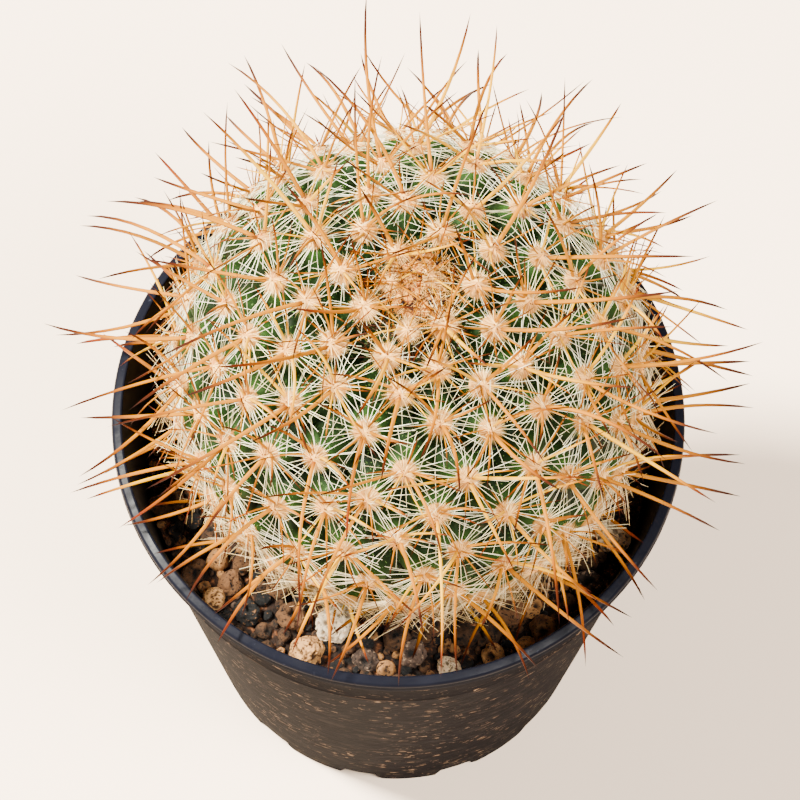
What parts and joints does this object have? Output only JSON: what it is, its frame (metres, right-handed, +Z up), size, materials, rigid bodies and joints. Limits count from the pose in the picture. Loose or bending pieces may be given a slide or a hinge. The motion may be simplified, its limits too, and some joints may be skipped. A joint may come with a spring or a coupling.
{
  "type": "potted round cactus",
  "caption": "Globe-shaped cactus with woolly tubercles and long central spines, planted in granular soil in a tapered round nursery pot.",
  "frame": {"origin": "centre of the pot's foot ring, on the surface the pot stands on, which is also the middle of the plant's spread seen from above", "axes": "+Z up along the pot's axis, -Y towards the side that the crown leans to and the picture looks at, +X to the right in that view"},
  "size_m": [0.1106, 0.1104, 0.1501],
  "materials": {
    "pot_plastic": "satin",
    "soil_mix": "matte",
    "cactus_flesh": "satin"
  },
  "bodies": {
    "root": {"pot": "pot_plastic", "soil": "soil_mix", "cactus": "cactus_flesh"}
  },
  "joints": []
}
